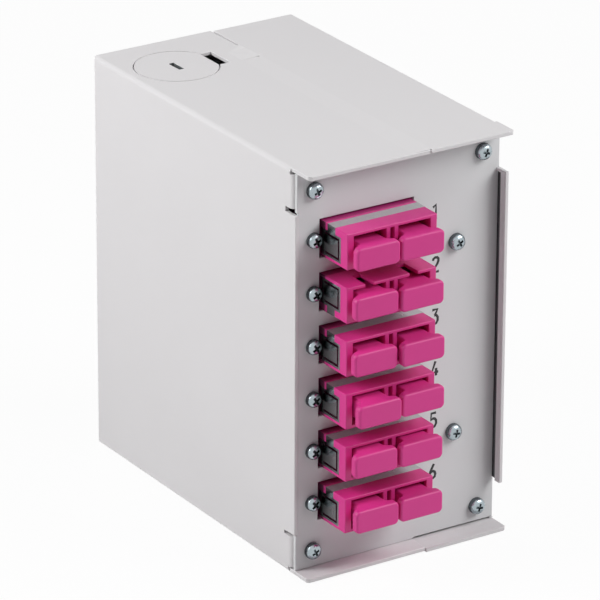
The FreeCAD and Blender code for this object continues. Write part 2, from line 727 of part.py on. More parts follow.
def build_flush_screw(label, shank, length):
    """Countersunk screw along +Y, with the flat of its head at the origin."""
    screw = new_body(label, is_node=False)
    add(screw, "XZ", [flats("0", "0", f"({shank} + 2 * sheet_metal)", HOLE_SIDES)], "0", "sheet_metal")
    trim_edges("Chamfer", screw, "Size", "0.98 * sheet_metal", [edges_at(y="sheet_metal")])
    add(screw, "XZ", [flats("0", "0", shank, HOLE_SIDES)], "sheet_metal", length)
    return screw


def build_screws():
    screws = []
    for x, z in panel_screw_places():
        screw = build_screw(f"panel_screw_{len(screws) + 1}", "screw_head", "screw_shank", "screw_length")
        place(screw, x, FACE, z)
        screws.append(screw)
    gather("panel_screws", screws)

    screws = []
    for row in range(1, ROWS + 1):
        for side in ("-1", "1"):
            screw = build_screw(f"adapter_screw_{len(screws) + 1}", "adapter_screw_head",
                                "adapter_screw_shank", "adapter_screw_length")
            place(screw, f"{LEFT} + adapter_x + {side} * adapter_screw_spacing / 2", FACE, row_height(row))
            screws.append(screw)
    gather("adapter_screws", screws)

    # These two come in from the right, so they point along -X, and lie flush in the wall
    screws = []
    for side in ("1", "-1"):
        screw = build_flush_screw(f"shell_screw_{len(screws) + 1}", "screw_shank", "screw_length")
        screw.Placement.Rotation = FreeCAD.Rotation(FreeCAD.Vector(0, 0, 1), 90)
        place(screw, RIGHT, f"{BACK} - return_width / 2", f"panel_mid + {side} * bracket_screw_rise")
        screws.append(screw)
    gather("shell_screws", screws)

    # These two come in from the back through the rail clip, so they point along -Y
    screws = []
    for side in ("1", "-1"):
        screw = build_screw(f"din_clip_screw_{len(screws) + 1}", "screw_head", "screw_shank",
                            "clip_base - clip_screw_sink + 3 * sheet_metal")
        screw.Placement.Rotation = FreeCAD.Rotation(FreeCAD.Vector(0, 0, 1), 180)
        place(screw, f"{side} * clip_screw_x", f"{BACK} + clip_base - clip_screw_sink",
              "panel_mid + clip_screw_rise")
        screws.append(screw)
    gather("din_clip_screws", screws)

    # Tray screws stand on the tray's floor and point along -X into the bracket
    screws = []
    for side in ("1", "-1"):
        screw = build_screw(f"tray_screw_{len(screws) + 1}", "screw_head", "screw_shank",
                            "tray_floor + 2 * sheet_metal")
        screw.Placement.Rotation = FreeCAD.Rotation(FreeCAD.Vector(0, 0, 1), 90)
        place(screw, f"{LEFT} + bracket_x + sheet_metal + tray_floor", tray_middle(),
              f"panel_mid + {side} * tray_screw_rise")
        screws.append(screw)
    gather("tray_screws", screws)


def tray_middle():
    return f"({FRONT} + tray_start + tray_length / 2)"


def build_splice_store():
    """Folded bracket behind the panel, the splice tray on it and the comb for the splices."""
    bracket = new_body("tray_bracket")
    x = f"({LEFT} + bracket_x)"
    plate = f"({x} + sheet_metal)"
    low = "(panel_mid - bracket_half_height)"
    high = "(panel_mid + bracket_half_height)"
    angle = [(x, FRONT), (f"{x} + bracket_foot", FRONT), (f"{x} + bracket_foot", f"{FRONT} + sheet_metal"),
             (plate, f"{FRONT} + sheet_metal"), (plate, f"{FRONT} + bracket_length"),
             (x, f"{FRONT} + bracket_length")]
    add(bracket, "XY", [angle], low, high)
    round_edges(bracket, "fold_radius - sheet_metal", [edges_at(x=plate, y=f"{FRONT} + sheet_metal")])
    round_edges(bracket, "fold_radius", [edges_at(x=x, y=FRONT)])
    foot_holes = [flats(f"{LEFT} + bracket_screw_x", f"panel_mid + {side} * bracket_screw_rise",
                        "tapped_hole", HOLE_SIDES) for side in ("1", "-1")]
    cut(bracket, "XZ", foot_holes, f"{FRONT} - 1", f"{FRONT} + 2")
    tray_screws = [(tray_middle(), f"panel_mid + {side} * tray_screw_rise") for side in ("1", "-1")]
    cut(bracket, "YZ", [flats(y, z, "tapped_hole", HOLE_SIDES) for y, z in tray_screws],
        f"{x} - 1", f"{plate} + 1")

    tray = new_body("splice_tray")
    start = f"({FRONT} + tray_start)"
    end = f"({start} + tray_length)"
    floor = f"({plate} + tray_floor)"
    rim = f"({plate} + tray_depth)"
    outside = rounded(start, end, "panel_mid - tray_half_height", "panel_mid + tray_half_height",
                      "tray_corner")
    add(tray, "YZ", [outside], plate, rim)
    inside = rounded(f"{start} + tray_wall", f"{end} - tray_wall", "panel_mid - tray_half_height + tray_wall",
                     "panel_mid + tray_half_height - tray_wall", "tray_corner - tray_wall")
    cut(tray, "YZ", [inside], floor, f"{rim} + 1")
    levels = [f"(panel_mid + {side} * tray_exit)" for side in ("1", "-1")]
    exits = [rectangle(y, f"{y} + 3", f"{level} - 4", f"{level} + 4")
             for y in (f"({start} - 1)", f"({end} - 2)") for level in levels]
    cut(tray, "YZ", exits, floor, f"{rim} + 1")
    cut(tray, "YZ", [flats(y, z, "screw_hole", HOLE_SIDES) for y, z in tray_screws],
        f"{plate} - 1", f"{floor} + 1")

    comb = new_body("splice_comb")
    comb_start = f"({tray_middle()} - comb_length / 2)"
    block = rectangle(comb_start, f"{comb_start} + comb_length", "panel_mid - comb_half_height",
                      "panel_mid + comb_half_height")
    add(comb, "YZ", [block], floor, f"{floor} + comb_depth")
    slot_low = f"(panel_mid - {(DIMENSIONS['comb_slots'] - 1) / 2} * comb_pitch - comb_slot / 2)"
    slot = rectangle(f"{comb_start} - 1", f"{comb_start} + comb_length + 1",
                     slot_low, f"{slot_low} + comb_slot")
    first = cut(comb, "YZ", [slot], f"{floor} + comb_floor", f"{floor} + comb_depth + 1")
    repeat(comb, first, "Z", "(comb_slots - 1) * comb_pitch", DIMENSIONS["comb_slots"])


def build_rail_clip():
    """Clip for a 35 mm rail: base with a fixed hook above, sprung latch below."""
    base = new_body("din_clip_body")
    face = f"({BACK} + clip_base)"
    slot = f"({face} + rail_slot)"
    tip = f"({slot} + hook_depth)"
    seat = "(panel_mid + rail_half + rail_play)"
    catch = f"({seat} - hook_catch)"
    top = "(panel_mid + clip_top)"
    low = "(panel_mid - clip_low)"
    profile = [(BACK, low), (face, low), (face, seat), (slot, seat), (slot, catch), (f"{tip} - 2", catch),
               (tip, f"{catch} + 2"), (tip, f"{top} - 5"), (f"{tip} - 2.5", f"{top} - 2.5"), (face, top),
               (BACK, top)]
    half = "clip_half_width"
    add(base, "YZ", [profile], f"-{half}", half)
    floor = f"({BACK} + channel_floor)"
    neck = f"({face} - channel_neck)"
    channel_top = "(panel_mid - channel_top)"
    cut(base, "XZ", [rectangle("-channel_half", "channel_half", f"{low} - 1", channel_top)], floor, neck)
    cut(base, "XZ", [rectangle("-neck_half", "neck_half", f"{low} - 1", channel_top)], floor, f"{face} + 1")
    post = rectangle("-post_half", "post_half", "panel_mid - post_low", "panel_mid - post_high")
    add(base, "XZ", [post], floor, f"{neck} - 2 * slide_play")
    screw_places = [(f"{side} * clip_screw_x", "panel_mid + clip_screw_rise") for side in ("1", "-1")]
    cut(base, "XZ", [flats(x, z, "screw_hole", HOLE_SIDES) for x, z in screw_places],
        f"{BACK} - 1", f"{face} + 1")
    cut(base, "XZ", [flats(x, z, "clip_screw_sink_diameter", HEAD_SIDES) for x, z in screw_places],
        f"{face} - clip_screw_sink", f"{face} + 1")

    latch = new_body("din_clip_latch")
    foot = "(panel_mid - latch_low)"
    head = f"({channel_top} - slide_play)"
    layer = f"({neck} - slide_play)"
    nose_seat = "(panel_mid - rail_half - rail_play)"
    nose_tip = f"({nose_seat} + hook_catch)"
    slide = rectangle("-channel_half + slide_play", "channel_half - slide_play", foot, head)
    add(latch, "XZ", [slide], f"{floor} + slide_play", layer)
    window = rectangle("-window_half", "window_half", "panel_mid - window_low", "panel_mid - window_top")
    cut(latch, "XZ", [window], floor, layer)
    nose = [(layer, foot), (f"{face} + 1.5", foot), (f"{face} + 1.5", f"{foot} + 9"),
            (tip, f"{nose_seat} - 3"), (tip, f"{nose_seat} - 1"), (f"{slot} + 1.3", nose_tip),
            (slot, nose_tip), (slot, nose_seat), (f"{face} - 0.1", nose_seat), (f"{face} - 0.1", head),
            (layer, head)]
    add(latch, "YZ", [nose], "-neck_half + slide_play", "neck_half - slide_play")

    # Flat zigzag spring between the fixed post and the top of the latch's window
    spring = new_body("din_clip_spring")
    start = "(panel_mid - post_high)"
    step = "((post_high - window_top - spring_wire) / spring_bars)"
    bars = DIMENSIONS["spring_bars"]
    notch = f"(spring_half * (1 - spring_wire / {step}))"
    right_side = [("-spring_half", start)]
    left_side = [("-spring_half", f"{start} + spring_wire")]
    for bar in range(1, bars):
        level = f"({start} + {bar} * {step})"
        inner_level = f"({level} + spring_wire / 2)"
        if bar % 2:
            right_side += [("spring_half", level), ("spring_half", f"{level} + spring_wire")]
            left_side.append((notch, inner_level))
        else:
            left_side += [("-spring_half", level), ("-spring_half", f"{level} + spring_wire")]
            right_side.append((f"-{notch}", inner_level))
    end_level = f"({start} + {bars} * {step})"
    right_side += [("spring_half", end_level), ("spring_half", f"{end_level} + spring_wire")]
    add(spring, "XZ", [right_side + left_side[::-1]], f"{floor} + 2 * slide_play", f"{layer} - slide_play")


build_left_shell()
build_right_shell()
build_front_panel()
for row in range(1, ROWS + 1):
    build_adapter(row)
    build_dust_cap(row, "-1", "left", *LEFT_CAP_PLACES[row - 1])
    build_dust_cap(row, "1", "right", *RIGHT_CAP_PLACES[row - 1])
build_screws()
build_splice_store()
build_rail_clip()
doc.recompute()

for item in doc.Objects:
    if "Invalid" in item.State or "Error" in item.State:
        raise RuntimeError(f"{item.Label} did not build: {item.State}")
os.makedirs("parts", exist_ok=True)
for node in nodes:
    if node.Shape.isNull() or not node.Shape.isValid():
        raise RuntimeError(f"{node.Label} has no valid shape")
for node in nodes:
    node.Shape.exportStep(f"parts/{node.Label}.step")
print(len(nodes), "sub-parts written")
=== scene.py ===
import bmesh
import bpy
import math
from mathutils import Matrix, Vector


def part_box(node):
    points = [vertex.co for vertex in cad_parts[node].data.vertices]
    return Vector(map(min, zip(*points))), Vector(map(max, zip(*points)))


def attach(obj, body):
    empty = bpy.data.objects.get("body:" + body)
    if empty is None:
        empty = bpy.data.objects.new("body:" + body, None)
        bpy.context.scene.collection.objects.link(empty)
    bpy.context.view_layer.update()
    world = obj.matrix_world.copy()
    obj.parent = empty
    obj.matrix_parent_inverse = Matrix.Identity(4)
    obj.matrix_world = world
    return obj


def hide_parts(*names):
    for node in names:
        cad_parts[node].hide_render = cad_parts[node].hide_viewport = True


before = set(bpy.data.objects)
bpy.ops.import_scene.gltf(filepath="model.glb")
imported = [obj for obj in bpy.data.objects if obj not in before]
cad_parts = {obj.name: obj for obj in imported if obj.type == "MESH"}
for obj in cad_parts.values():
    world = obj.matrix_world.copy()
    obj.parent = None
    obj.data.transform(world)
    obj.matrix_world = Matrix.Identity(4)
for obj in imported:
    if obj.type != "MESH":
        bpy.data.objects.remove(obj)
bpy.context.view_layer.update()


# Left half of the case: 1 mm steel sheet, folded on a press into the left wall, the back and most
# of the top and the bottom, then powder coated light grey. The coat rounds every cut edge a little
# and dries with a fine orange peel.
MM = 0.001
NEAR = 0.05 * MM
SLIVER = 0.01 * MM
WELD = 0.04 * MM
FLAT = math.radians(0.5)
SMOOTH = math.radians(35)
SHARP = math.radians(60)
FACING = 0.9
COAT_ROUND = 0.16 * MM
SHORTEST_ROUNDED = 2.5 * MM
SEAM = 5.45 * MM
SEAM_START = -44 * MM
SEAM_REACH = 0.12 * MM


def add_grain_group():
    """Fine grain and broad blotches on the piece's own coordinates, for all the finishes."""
    group = bpy.data.node_groups.new("surface_grain", "ShaderNodeTree")
    for socket in ("Fine", "Broad"):
        group.interface.new_socket(socket, in_out="INPUT", socket_type="NodeSocketFloat")
    for socket in ("Grain", "Blotch"):
        group.interface.new_socket(socket, in_out="OUTPUT", socket_type="NodeSocketFloat")
    nodes, links = group.nodes, group.links
    inputs = nodes.new("NodeGroupInput")
    outputs = nodes.new("NodeGroupOutput")
    place = nodes.new("ShaderNodeTexCoord")
    for scale, result, detail in (("Fine", "Grain", 2), ("Broad", "Blotch", 4)):
        noise = nodes.new("ShaderNodeTexNoise")
        noise.inputs["Detail"].default_value = detail
        links.new(place.outputs["Object"], noise.inputs["Vector"])
        links.new(inputs.outputs[scale], noise.inputs["Scale"])
        links.new(noise.outputs["Fac"], outputs.inputs[result])
    return group


def make_finish(name, dark, light, roughness, fine, broad, bump, metallic=0.0):
    """A finish whose colour drifts between two tones and whose sheen and relief follow the grain."""
    finish = bpy.data.materials.new(name)
    finish.use_nodes = True
    nodes, links = finish.node_tree.nodes, finish.node_tree.links
    shader = nodes["Principled BSDF"]
    shader.inputs["Metallic"].default_value = metallic
    grain = nodes.new("ShaderNodeGroup")
    grain.node_tree = surface_grain
    grain.inputs["Fine"].default_value = fine
    grain.inputs["Broad"].default_value = broad
    tone = nodes.new("ShaderNodeMix")
    tone.data_type = "RGBA"
    tone.inputs["A"].default_value = (*dark, 1)
    tone.inputs["B"].default_value = (*light, 1)
    links.new(grain.outputs["Blotch"], tone.inputs["Factor"])
    links.new(tone.outputs["Result"], shader.inputs["Base Color"])
    sheen = nodes.new("ShaderNodeMapRange")
    sheen.inputs["From Min"].default_value = 0.3
    sheen.inputs["From Max"].default_value = 0.7
    sheen.inputs["To Min"].default_value = roughness[0]
    sheen.inputs["To Max"].default_value = roughness[1]
    links.new(grain.outputs["Blotch"], sheen.inputs["Value"])
    links.new(sheen.outputs["Result"], shader.inputs["Roughness"])
    relief = nodes.new("ShaderNodeBump")
    relief.inputs["Strength"].default_value = 0.5
    relief.inputs["Distance"].default_value = bump
    links.new(grain.outputs["Grain"], relief.inputs["Height"])
    links.new(relief.outputs["Normal"], shader.inputs["Normal"])
    return finish


def take_up(piece):
    """Makes a piece the only one that the next operators act on."""
    bpy.ops.object.select_all(action="DESELECT")
    piece.select_set(True)
    bpy.context.view_layer.objects.active = piece


def pick_edges(test):
    """Selects, in edit mode, only the edges that pass the test."""
    bpy.ops.mesh.select_mode(type="EDGE")
    bpy.ops.mesh.select_all(action="DESELECT")
    shape = bmesh.from_edit_mesh(bpy.context.object.data)
    for edge in shape.edges:
        edge.select_set(test(edge))
    bmesh.update_edit_mesh(bpy.context.object.data)


def smooth_folds(piece):
    """Smooth shading round folds and rounded edges, with flat faces left flat."""
    take_up(piece)
    bpy.ops.object.shade_smooth_by_angle(angle=SMOOTH)
    flat = piece.modifiers.new("flat_faces", "WEIGHTED_NORMAL")
    flat.keep_sharp = True
    bpy.ops.object.modifier_apply(modifier="flat_faces")


def on_tight_seam(edge):
    """The halves meet closely here, so the coat has no room to round their edges."""
    return all(abs(point.co.x - SEAM) < SEAM_REACH and point.co.y > SEAM_START for point in edge.verts)


def is_sharp(edge):
    return edge.is_manifold and edge.is_convex and edge.calc_face_angle() > SHARP


def is_cut_edge(edge):
    return is_sharp(edge) and edge.calc_length() > SHORTEST_ROUNDED and not on_tight_seam(edge)


def clear_slivers(piece):
    """Merges points that all but coincide, and drops the empty faces between them."""
    take_up(piece)
    bpy.ops.object.mode_set(mode="EDIT")
    bpy.ops.mesh.select_all(action="SELECT")
    bpy.ops.mesh.remove_doubles(threshold=SLIVER)
    bpy.ops.mesh.dissolve_degenerate(threshold=SLIVER)
    bpy.ops.object.mode_set(mode="OBJECT")


def coat_edges(piece):
    """Rounds the long cut edges of a folded sheet, as the coat does."""
    take_up(piece)
    bpy.ops.object.mode_set(mode="EDIT")
    pick_edges(is_cut_edge)
    bpy.ops.mesh.bevel(offset=COAT_ROUND, segments=2, clamp_overlap=False, loop_slide=False)
    bpy.ops.object.mode_set(mode="OBJECT")
    clear_slivers(piece)
    smooth_folds(piece)


def pick_points(test):
    """Selects, in edit mode, only the points that pass the test."""
    bpy.ops.mesh.select_mode(type="VERT")
    bpy.ops.mesh.select_all(action="DESELECT")
    shape = bmesh.from_edit_mesh(bpy.context.object.data)
    for point in shape.verts:
        point.select_set(test(point.co))
    bmesh.update_edit_mesh(bpy.context.object.data)


def pick_faces(test):
    """Selects, in edit mode, only the faces that pass the test."""
    bpy.ops.mesh.select_mode(type="FACE")
    bpy.ops.mesh.select_all(action="DESELECT")
    shape = bmesh.from_edit_mesh(bpy.context.object.data)
    for face in shape.faces:
        face.select_set(test(face))
    bmesh.update_edit_mesh(bpy.context.object.data)


def clean_copy(node):
    """The part's own shape with its flat faces in one piece each."""
    piece = bpy.data.objects.new(node + "_finished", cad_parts[node].data.copy())
    bpy.context.scene.collection.objects.link(piece)
    take_up(piece)
    bpy.ops.mesh.customdata_custom_splitnormals_clear()
    bpy.ops.object.mode_set(mode="EDIT")
    bpy.ops.mesh.select_all(action="SELECT")
    bpy.ops.mesh.remove_doubles(threshold=WELD)
    bpy.ops.mesh.dissolve_limited(angle_limit=FLAT)
    bpy.ops.object.mode_set(mode="OBJECT")
    smooth_folds(piece)
    return piece


def fit_piece(piece, finish, body, slot, *nodes):
    """Gives a piece its finish and its body, in place of the nodes that it stands for."""
    piece.data.materials.clear()
    piece.data.materials.append(finish)
    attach(piece, body)
    if nodes:
        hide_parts(*nodes)


def lies_in(place, low, high):
    """Whether a place lies in a box that is given in millimetres."""
    return all(start * MM < along < end * MM for start, along, end in zip(low, place, high))


def paint_fold_highlight(finish, tone, amount):
    """Paints a highlight into the coat where a fold turns from a wall to the top."""
    nodes, links = finish.node_tree.nodes, finish.node_tree.links
    place = nodes.new("ShaderNodeTexCoord")
    facing = nodes.new("ShaderNodeSeparateXYZ")
    links.new(place.outputs["Normal"], facing.inputs[0])
    both = nodes.new("ShaderNodeMath")
    both.operation = "MULTIPLY"
    links.new(facing.outputs["X"], both.inputs[0])
    links.new(facing.outputs["Z"], both.inputs[1])
    turn = nodes.new("ShaderNodeMath")
    turn.operation = "ABSOLUTE"
    links.new(both.outputs[0], turn.inputs[0])
    share = nodes.new("ShaderNodeMapRange")
    share.inputs["From Max"].default_value = 0.5
    share.inputs["To Max"].default_value = amount
    links.new(turn.outputs[0], share.inputs["Value"])
    fold_highlight = nodes.new("ShaderNodeMix")
    fold_highlight.data_type = "RGBA"
    fold_highlight.inputs["B"].default_value = (*tone, 1)
    links.new(share.outputs["Result"], fold_highlight.inputs["Factor"])
    links.new(nodes["Mix"].outputs["Result"], fold_highlight.inputs["A"])
    links.new(fold_highlight.outputs["Result"], nodes["Principled BSDF"].inputs["Base Color"])


surface_grain = add_grain_group()
COAT_GRAIN = {"fine": 2600, "broad": 35, "bump": 0.00003}
grey_coat = make_finish("grey_powder_coat", (0.69, 0.675, 0.685), (0.725, 0.71, 0.72), (0.62, 0.72),
                        **COAT_GRAIN)
# A painted highlight along the folds between the walls and the top
paint_fold_highlight(grey_coat, tone=(0.95, 0.94, 0.95), amount=0.4)
# A dark coat that paints the shade in narrow gaps and slots
painted_gap_shade = make_finish("painted_shade_in_gaps", (0.09, 0.1, 0.105), (0.11, 0.12, 0.125), (0.6, 0.7), **COAT_GRAIN)
PANEL_FACE = -45 * MM
PANEL_BACK = -44 * MM
LEFT_WALL_INSIDE = -28.6 * MM
RELIEF_LOW = 12.3 * MM
RELIEF_HIGH = 95.15 * MM
RELIEF_BACK = -40 * MM
HALF_RELIEF = 0.45 * MM
RELIEF_DROP = 1.75 * MM
RELIEF_GROWTH = 0.5 * MM
WALL_PROUD = 0.3 * MM
# Two corners of a box round the pry slot's walls, in millimetres; these walls get painted shade
PRY_SLOT = ((-16.55, 28.3, 105), (-15.05, 33.5, 106.2))


def is_wall_edge(face):
    """The front edge of the left wall, between its two relief slots."""
    middle = face.calc_center_median()
    return (face.normal.y < -FACING and abs(middle.y - PANEL_BACK) < NEAR
            and middle.x < LEFT_WALL_INSIDE and RELIEF_LOW < middle.z < RELIEF_HIGH)


left_shell = clean_copy("left_shell")
bpy.ops.object.mode_set(mode="EDIT")
# Between its two relief slots the wall comes forward past the edge of the panel
pick_faces(is_wall_edge)
bpy.ops.transform.translate(value=(0, PANEL_FACE - WALL_PROUD - PANEL_BACK, 0))
pick_points(lambda place: place.y < RELIEF_BACK and abs(place.z - RELIEF_LOW) < HALF_RELIEF + NEAR)
bpy.ops.transform.translate(value=(0, 0, -RELIEF_DROP))
pick_points(lambda place: place.y < RELIEF_BACK and abs(place.z - RELIEF_HIGH - HALF_RELIEF) < NEAR)
bpy.ops.transform.translate(value=(0, 0, RELIEF_GROWTH))
bpy.ops.object.mode_set(mode="OBJECT")
coat_edges(left_shell)
fit_piece(left_shell, grey_coat, "box", "grey_paint", "left_shell")
# The pry slot's walls get painted shade
left_shell.data.materials.append(painted_gap_shade)
for face in left_shell.data.polygons:
    if lies_in(face.center, *PRY_SLOT):
        face.material_index = 1


# Right half of the case: the same coated sheet, screwed to a flange of the left half. A strip of its
# wall stands forward of the panel. Its top and bottom lie a little outside the left half's, and the
# coat bridges most of the seam in the top.
def combine(piece, tool, operation):
    """Joins a tool piece to a piece, or cuts it out, and takes the tool away."""
    take_up(piece)
    change = piece.modifiers.new("combine", "BOOLEAN")
    change.operation = operation
    change.solver = "EXACT"
    change.object = tool
    bpy.ops.object.modifier_apply(modifier="combine")
    bpy.data.objects.remove(tool)


def block(low, high):
    """A plain block between two corners, as a tool to cut or to join with."""
    low, high = Vector(low) * MM, Vector(high) * MM
    bpy.ops.object.select_all(action="DESELECT")
    bpy.ops.mesh.primitive_cube_add(size=1, location=(low + high) / 2, scale=high - low)
    bpy.ops.object.transform_apply()
    return bpy.context.object


STRIP_FRONT = -48.65 * MM
STRIP_GROWTH = 0.3 * MM
RIGHT_WALL_INSIDE = 28.5 * MM
GAP_LOW = Vector((28.4, -46.85, 12)) * MM
GAP_HIGH = Vector((29.42, -43.9, 94.4)) * MM
# Corners of the cuts in millimetres: room for the panel's straight edge, the gap beside the strip, and
# the wall's edge behind the panel's upper and lower corners
WALL_CUTS = (((28.4, -45.1, 12), (29.2, -43.9, 95.4)),
             (GAP_LOW / MM, GAP_HIGH / MM),
             ((28.6, -45.5, 95.15), (30, -43.95, 105.15)),
             ((28.6, -45.5, 1.35), (30, -43.95, 12.25)))
# Two corners of a box in millimetres round the faces of the gap beside the strip, which get painted shade
GAP_FACES = ((28.95, -46.9, 12), (29.5, -43.85, 95.1))
# Where each bridge starts and ends along the seam, in millimetres, and whether its end sinks away
COAT_BRIDGES = ((-50.4, 25.5, False), (26.1, 32.6, False), (32.5, 35.9, True))
BRIDGE_LEFT = -0.05
BRIDGE_RIGHT = 5.9
BRIDGE_LOW = 105.9
BRIDGE_TOP = 106.49
STEP_OF_HALVES = 0.2 * MM


def is_strip_edge(face):
    middle = face.calc_center_median()
    return face.normal.y < -FACING and abs(middle.y - STRIP_FRONT) < NEAR and middle.x > RIGHT_WALL_INSIDE


right_shell = clean_copy("right_shell")
bpy.ops.object.mode_set(mode="EDIT")
pick_faces(is_strip_edge)
bpy.ops.transform.translate(value=(0, -STRIP_GROWTH, 0))
bpy.ops.object.mode_set(mode="OBJECT")
for low, high in WALL_CUTS:
    combine(right_shell, block(low, high), "DIFFERENCE")
coat_edges(right_shell)
# The coat bridges the seam in the top, except at its second stop and behind the first one
for start, end, sinks in COAT_BRIDGES:
    bridge = block((BRIDGE_LEFT, start, BRIDGE_LOW), (BRIDGE_RIGHT, end, BRIDGE_TOP))
    bpy.ops.object.mode_set(mode="EDIT")
    pick_points(lambda place: place.z > BRIDGE_LOW * MM + NEAR
                and (place.x < SEAM or sinks and place.y > end * MM - NEAR))
    bpy.ops.transform.translate(value=(0, 0, -STEP_OF_HALVES))
    bpy.ops.mesh.select_all(action="SELECT")
    bpy.ops.mesh.quads_convert_to_tris()
    bpy.ops.object.mode_set(mode="OBJECT")
    combine(right_shell, bridge, "UNION")
smooth_folds(right_shell)
fit_piece(right_shell, grey_coat, "box", "grey_paint", "right_shell")
# The gap beside the strip gets painted shade
right_shell.data.materials.append(painted_gap_shade)
for face in right_shell.data.polygons:
    if lies_in(face.center, *GAP_FACES):
        face.material_index = 1


# Front panel: flat coated sheet, screwed to the corner tabs. The row numbers are printed on it in
# thin dark ink, to the right of the adapters.
panel_coat = make_finish("panel_powder_coat", (0.66, 0.665, 0.675), (0.695, 0.70, 0.71), (0.62, 0.72),
                         **COAT_GRAIN)
# Corners in millimetres of what is added on the right, above, below and between, and of the room for
# the left wall
PANEL_RIGHT_EDGE = (((28.2, -45, 95.3), (29.45, -44, 105.2)),
                    ((28.2, -45, 1.6), (29.45, -44, 12.1)),
                    ((28, -45, 11.9), (29.12, -44, 95.5)))
LEFT_WALL_ROOM = ((-30, -46, 10.6), (-28.45, -43, 95.3))
front_panel = clean_copy("front_panel")
for low, high in PANEL_RIGHT_EDGE:
    combine(front_panel, block(low, high), "UNION")
combine(front_panel, block(*LEFT_WALL_ROOM), "DIFFERENCE")
take_up(front_panel)
bpy.ops.object.mode_set(mode="EDIT")
bpy.ops.mesh.select_all(action="SELECT")
bpy.ops.mesh.dissolve_limited(angle_limit=FLAT)
bpy.ops.object.mode_set(mode="OBJECT")
coat_edges(front_panel)
fit_piece(front_panel, panel_coat, "box", "grey_paint", "front_panel")

ROWS = range(1, 7)
MIDDLE_HEIGHT = 53.05
ROW_PITCH = 13.8
ROW_HEIGHTS = [(MIDDLE_HEIGHT + (3.5 - row) * ROW_PITCH) * MM for row in ROWS]
DIGIT_MIDDLES = [x * MM for x in (10.75, 11.2, 11.15, 11.4, 11.2, 11.2)]
DIGIT_DROP = 0.3 * MM
DIGIT_TALL = 3.8 * MM
STROKE = 0.72 * MM
INK_FLATNESS = 0.12
# Strokes of each number as points in a box 0.5 wide and 1 tall, about its middle
DIGIT_STROKES = [
    [[(-0.16, 0.34), (0.06, 0.5), (0.06, -0.5)]],
    [[(-0.22, 0.3), (-0.19, 0.42), (-0.06, 0.5), (0.1, 0.48), (0.2, 0.36), (0.2, 0.22), (0.12, 0.05),
      (-0.23, -0.5), (0.24, -0.5)]],
    [[(-0.2, 0.5), (0.2, 0.5), (0.0, 0.12)],
     [(-0.04, 0.12), (0.12, 0.1), (0.22, -0.05), (0.22, -0.28), (0.12, -0.45), (-0.04, -0.5), (-0.16, -0.46),
      (-0.23, -0.34)]],
    [[(0.04, 0.5), (-0.24, -0.26), (0.26, -0.26)], [(0.1, 0.02), (0.1, -0.5)]],
    [[(0.2, 0.5), (-0.16, 0.5), (-0.2, 0.04), (-0.06, 0.12), (0.1, 0.1), (0.21, -0.04), (0.22, -0.26),
      (0.12, -0.44), (-0.02, -0.5), (-0.14, -0.47), (-0.22, -0.38)]],
    [[(0.1, 0.5), (-0.12, 0.1), (-0.22, -0.14), (-0.2, -0.34), (-0.1, -0.48), (0.04, -0.5), (0.17, -0.42),
      (0.22, -0.24), (0.17, -0.08), (0.04, 0.0), (-0.08, -0.02), (-0.19, -0.1)]],
]
ink = make_finish("row_number_ink", (0.012, 0.012, 0.013), (0.022, 0.022, 0.024), (0.5, 0.6),
                  fine=9000, broad=400, bump=0.00001)
for row in ROWS:
    line = bpy.data.curves.new(f"row_number_{row}", "CURVE")
    line.dimensions = "3D"
    line.bevel_depth = STROKE / 2
    line.bevel_resolution = 2
    line.use_fill_caps = True
    for stroke in DIGIT_STROKES[row - 1]:
        path = line.splines.new("POLY")
        path.points.add(len(stroke) - 1)
        for point, (u, v) in zip(path.points, stroke):
            point.co = (u * DIGIT_TALL, 0, v * DIGIT_TALL, 1)
    drawn = bpy.data.objects.new("drawn_number", line)
    bpy.context.scene.collection.objects.link(drawn)
    take_up(drawn)
    bpy.ops.object.convert(target="MESH")
    digit = bpy.context.object
    digit.name = f"row_number_{row}"
    # The ink is a film on the coat, so the drawn line is pressed almost flat
    press = Matrix.Diagonal((1, INK_FLATNESS, 1, 1))
    spot = (DIGIT_MIDDLES[row - 1], PANEL_FACE, ROW_HEIGHTS[row - 1] - DIGIT_DROP)
    digit.data.transform(Matrix.Translation(spot) @ press)
    bpy.ops.object.shade_smooth()
    fit_piece(digit, ink, "box", "grey_paint")


# Screws: zinc-plated steel, cold headed, with cross recesses. Six with pan heads hold the panel, twelve
# smaller ones the adapters, and others the rail clip and the splice tray. Two flush ones close the case.
PUNCH_SIDES = 16
PUNCH_ROOM = 1 * MM
POINT_RADIUS = 0.26
POINT_TAPER = 0.35
BLADE_WIDTH = 0.28
BLADE_DEPTH = 0.85
BLADE_TAPER = 0.6
HEAD_SIDES = 40
SKIRT = 0.7 * MM
# How far each ring of the crown rises, in millimetres, and its width as a share of the ring below
CROWN_RINGS = ((0.42, 0.955), (0.36, 0.90), (0.26, 0.82), (0.14, 0.72), (0.06, 0.55))
HEAD_TALL = 1.94 * MM
RECESS_DEPTH = 0.42 * HEAD_TALL
TIP = 0.5 * MM
TIP_TAPER = 0.7
SUNK_RIM = 0.15 * MM
SUNK_CONE = 0.8 * MM
SUNK_RECESS = 0.62
SUNK_RECESS_DEPTH = 0.9 * MM
# Shares of the bright tone kept in the recesses and on the skirts; the dark rest is a film and painted shade
SUNK_POLISH_AND_SHADE = 0.4
SKIRT_POLISH_AND_SHADE = 0.3


def taper_low_end(share):
    """Narrows the low end of the active piece to a share of its width."""
    bpy.ops.object.mode_set(mode="EDIT")
    pick_faces(lambda face: face.normal.z < -FACING)
    bpy.ops.transform.resize(value=(share, share, 1))
    bpy.ops.object.mode_set(mode="OBJECT")


